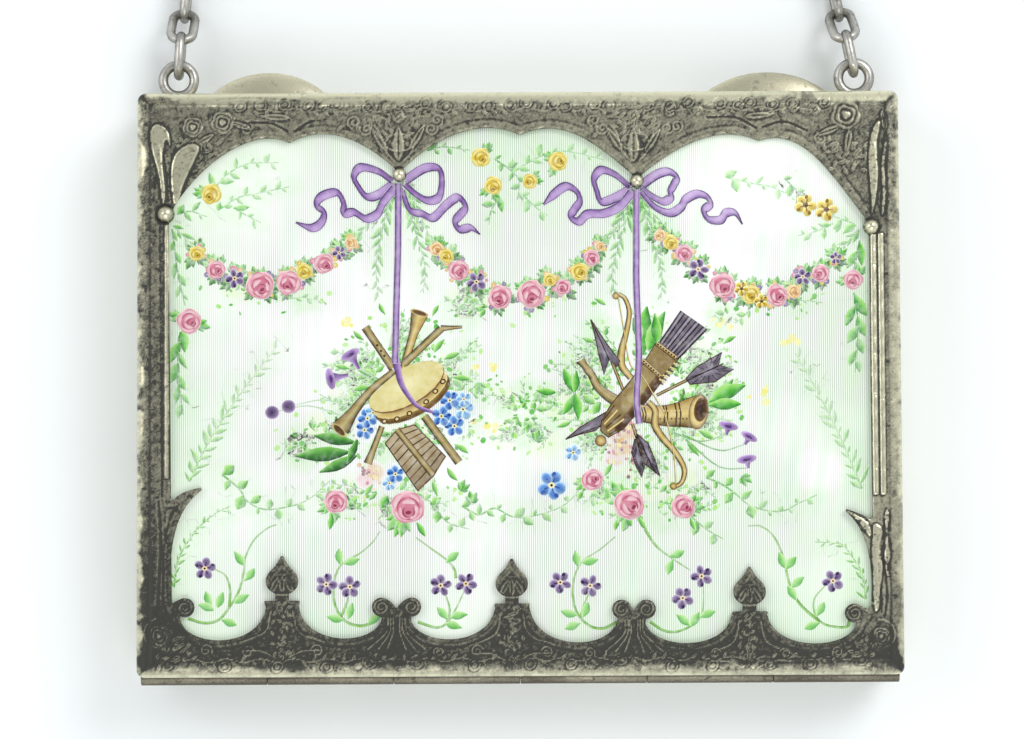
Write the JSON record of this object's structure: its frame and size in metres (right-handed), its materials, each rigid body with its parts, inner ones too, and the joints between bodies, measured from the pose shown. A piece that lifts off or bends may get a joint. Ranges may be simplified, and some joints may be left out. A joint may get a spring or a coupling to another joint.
{
  "type": "chain purse",
  "caption": "Hard silver case purse with a hinged lid, an enamelled front under a pierced border, thumb pieces and a link carrying chain on rings.",
  "frame": {"origin": "middle of the flat back, which lies on the table", "axes": "+Z out of the enamelled front, +Y towards the edge that carries the chain, +X to the right seen from the front"},
  "size_m": [0.0846, 0.1616, 0.0131],
  "materials": {
    "case_silver": "worn warm silver, softly polished",
    "border_silver": "chased silver, dark with tarnish and worn bright on the edges",
    "chain_silver": "grey silver, dulled in the hollows",
    "enamel": "glossy white enamel over engine-turned lines, painted with flowers"
  },
  "bodies": {
    "case_back": {"back_shell": "case_silver", "hinge_pin": "case_silver", "catch_tongue": "case_silver", "thumb_piece_back": "case_silver", "chain_ring_left": "chain_silver", "chain_ring_right": "chain_silver", "chain": "chain_silver"},
    "case_lid": {"lid_shell": "case_silver", "border_frame": "border_silver", "enamel_plaque": "enamel", "thumb_piece_lid": "case_silver"}
  },
  "joints": [
    {"name": "lid_hinge", "type": "hinge", "parent": "case_back", "child": "case_lid", "pos_m": [0, -0.0324, 0.00565], "axis": [1, 0, 0], "range_deg": [0, 100]}
  ]
}
